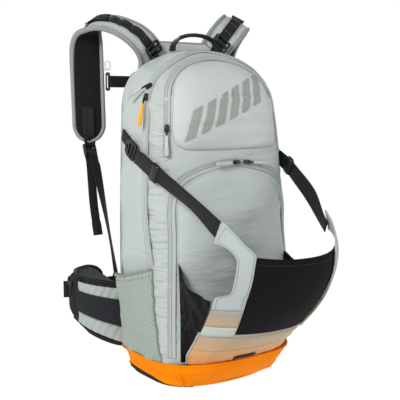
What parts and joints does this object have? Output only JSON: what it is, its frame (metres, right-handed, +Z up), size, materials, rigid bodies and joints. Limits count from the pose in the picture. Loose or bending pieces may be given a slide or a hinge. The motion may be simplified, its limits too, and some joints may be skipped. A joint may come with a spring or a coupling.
{
  "type": "backpack",
  "caption": "Daypack with a front helmet carrier held by two hooked straps, swinging shoulder straps, an opening hip belt, sliding zips and a haul loop.",
  "frame": {"origin": "on the flat underside of the base, below the bag", "axes": "+Z up, -Y the front of the bag, +Y the wearer side, +X the right seen from the front"},
  "size_m": [0.3619, 0.503, 0.631],
  "materials": {
    "shell_fabric": "grey-green woven fabric, matt",
    "black_fabric": "black fabric and webbing, matt",
    "boot_fabric": "orange coated fabric, slight sheen",
    "mesh_fabric": "dark spacer mesh over foam, matt",
    "black_plastic": "moulded acetal, satin",
    "pull_grey": "light grey moulded puller",
    "pull_orange": "orange moulded puller",
    "foam": "stiff foam sheet, matt"
  },
  "bodies": {
    "pack": {"back_pad_left": "mesh_fabric", "back_pad_right": "mesh_fabric", "back_panel": "mesh_fabric", "back_protector": "foam", "base_boot": "boot_fabric", "base_pad": "black_fabric", "carrier_anchor_left": "black_fabric", "carrier_anchor_right": "black_fabric", "compartment_divider": "black_fabric", "front_zip": "shell_fabric", "lumbar_pad": "mesh_fabric", "main_shell": "shell_fabric", "main_zip": "shell_fabric", "pocket_zip": "shell_fabric", "shoulder_yoke": "shell_fabric", "side_pocket_left": "shell_fabric", "side_pocket_right": "shell_fabric"},
    "carrier": {"flap_lower_panel": "shell_fabric", "flap_stretch_panel": "black_fabric", "flap_arm_left": "shell_fabric", "carrier_gusset_left": "black_fabric", "carrier_strap_left": "black_fabric", "carrier_hook_left": "black_plastic", "flap_arm_right": "shell_fabric", "carrier_gusset_right": "black_fabric", "carrier_strap_right": "black_fabric", "carrier_hook_right": "black_plastic"},
    "strap_left": {"strap_pad_left": "shell_fabric", "strap_buckle_left": "black_plastic", "strap_webbing_left": "black_fabric", "lifter_webbing_left": "black_fabric", "lifter_buckle_left": "black_plastic"},
    "strap_right": {"strap_pad_right": "shell_fabric", "strap_buckle_right": "black_plastic", "strap_webbing_right": "black_fabric", "lifter_webbing_right": "black_fabric", "lifter_buckle_right": "black_plastic"},
    "sternum_left": {"sternum_slider_left": "black_plastic", "sternum_webbing_left": "black_fabric", "sternum_clip_socket": "black_plastic"},
    "sternum_right": {"sternum_slider_right": "black_plastic"},
    "sternum_clip": {"sternum_webbing_right": "black_fabric", "sternum_clip_prongs": "black_plastic"},
    "wing_left": {"hip_wing_left": "mesh_fabric", "belt_webbing_left": "black_fabric", "belt_clip_socket": "black_plastic"},
    "wing_right": {"hip_wing_right": "mesh_fabric"},
    "belt_clip": {"belt_webbing_right": "black_fabric", "belt_clip_prongs": "black_plastic"},
    "haul_loop": {"haul_loop": "black_fabric"},
    "main_zip_lower_slider": {"main_zip_lower_slider": "black_plastic"},
    "main_zip_lower_puller": {"main_zip_lower_puller": "pull_orange"},
    "main_zip_upper_slider": {"main_zip_upper_slider": "black_plastic"},
    "main_zip_upper_puller": {"main_zip_upper_puller": "pull_grey"},
    "pocket_zip_slider": {"pocket_zip_slider": "black_plastic"},
    "pocket_zip_puller": {"pocket_zip_puller": "pull_grey"},
    "front_zip_left_slider": {"front_zip_left_slider": "black_plastic"},
    "front_zip_left_puller": {"front_zip_left_puller": "pull_grey"},
    "front_zip_right_slider": {"front_zip_right_slider": "black_plastic"},
    "front_zip_right_puller": {"front_zip_right_puller": "pull_grey"}
  },
  "joints": [
    {"name": "carrier_hinge", "type": "hinge", "parent": "pack", "child": "carrier", "pos_m": [0, -0.121, 0.0505], "axis": [1, 0, 0], "range_deg": [0, 30], "deforming": ["carrier_gusset_left", "carrier_gusset_right"]},
    {"name": "strap_left_swing", "type": "hinge", "parent": "pack", "child": "strap_left", "pos_m": [-0.05, 0.086, 0.478], "axis": [0.2339, 0.0332, 0.9717], "range_deg": [-14, 2.5], "deforming": ["lifter_webbing_left"]},
    {"name": "strap_right_swing", "type": "hinge", "parent": "pack", "child": "strap_right", "pos_m": [0.05, 0.086, 0.478], "axis": [0.2339, -0.0332, -0.9717], "range_deg": [-14, 2.5], "deforming": ["lifter_webbing_right"]},
    {"name": "sternum_left_height", "type": "slide", "parent": "strap_left", "child": "sternum_left", "axis": [-0.0216, 0.0109, 0.9997], "range_m": [-0.025, 0.02]},
    {"name": "sternum_right_height", "type": "slide", "parent": "strap_right", "child": "sternum_right", "axis": [0.0826, 0.011, 0.9965], "range_m": [-0.025, 0.02]},
    {"name": "sternum_adjust", "type": "slide", "parent": "sternum_right", "child": "sternum_clip", "axis": [1, 0, 0], "range_m": [0, 0.025]},
    {"name": "wing_left_swing", "type": "hinge", "parent": "pack", "child": "wing_left", "pos_m": [-0.112, 0.0865, 0.1], "axis": [0, 0, 1], "range_deg": [0, 40]},
    {"name": "wing_right_swing", "type": "hinge", "parent": "pack", "child": "wing_right", "pos_m": [0.112, 0.0865, 0.1], "axis": [0, 0, -1], "range_deg": [0, 40]},
    {"name": "belt_adjust", "type": "slide", "parent": "wing_right", "child": "belt_clip", "axis": [1, 0, 0], "range_m": [0, 0.03]},
    {"name": "haul_loop_flop", "type": "hinge", "parent": "pack", "child": "haul_loop", "pos_m": [0, 0.022, 0.553], "axis": [1, 0, 0], "range_deg": [-20, 20]},
    {"name": "main_zip_lower_slide", "type": "slide", "parent": "pack", "child": "main_zip_lower_slider", "axis": [-0.2326, -0.044, -0.9716], "range_m": [0, 0.033]},
    {"name": "main_zip_lower_puller_tilt", "type": "hinge", "parent": "main_zip_lower_slider", "child": "main_zip_lower_puller", "pos_m": [-0.13242, -0.02598, 0.46547], "axis": [-0.1858, 0.9826, 0], "range_deg": [0, 90]},
    {"name": "main_zip_upper_slide", "type": "slide", "parent": "pack", "child": "main_zip_upper_slider", "axis": [0.4286, 0.0721, 0.9006], "range_m": [0, 0.02]},
    {"name": "main_zip_upper_puller_tilt", "type": "hinge", "parent": "main_zip_upper_slider", "child": "main_zip_upper_puller", "pos_m": [-0.12758, -0.01859, 0.48752], "axis": [0.2356, 0.5831, 0.7775], "range_deg": [0, 90]},
    {"name": "pocket_zip_slide", "type": "slide", "parent": "pack", "child": "pocket_zip_slider", "axis": [0.0703, 0.0998, 0.9925], "range_m": [0, 0.033]},
    {"name": "pocket_zip_puller_tilt", "type": "hinge", "parent": "pocket_zip_slider", "child": "pocket_zip_puller", "pos_m": [-0.11476, -0.06518, 0.41646], "axis": [-0.8175, 0.5759, 0], "range_deg": [0, 90]},
    {"name": "front_zip_left_slide", "type": "slide", "parent": "pack", "child": "front_zip_left_slider", "axis": [-0.9992, -0.0055, -0.0392], "range_m": [0, 0.035]},
    {"name": "front_zip_left_puller_tilt", "type": "hinge", "parent": "front_zip_left_slider", "child": "front_zip_left_puller", "pos_m": [-0.00099, -0.08883, 0.36746], "axis": [-0.0396, 0.1324, 0.9904], "range_deg": [0, 90]},
    {"name": "front_zip_right_slide", "type": "slide", "parent": "pack", "child": "front_zip_right_slider", "axis": [0.9951, -0.0035, -0.099], "range_m": [0, 0.035]},
    {"name": "front_zip_right_puller_tilt", "type": "hinge", "parent": "front_zip_right_slider", "child": "front_zip_right_puller", "pos_m": [0.03503, -0.08878, 0.36668], "axis": [-0.0986, -0.1328, -0.9862], "range_deg": [0, 90]}
  ]
}
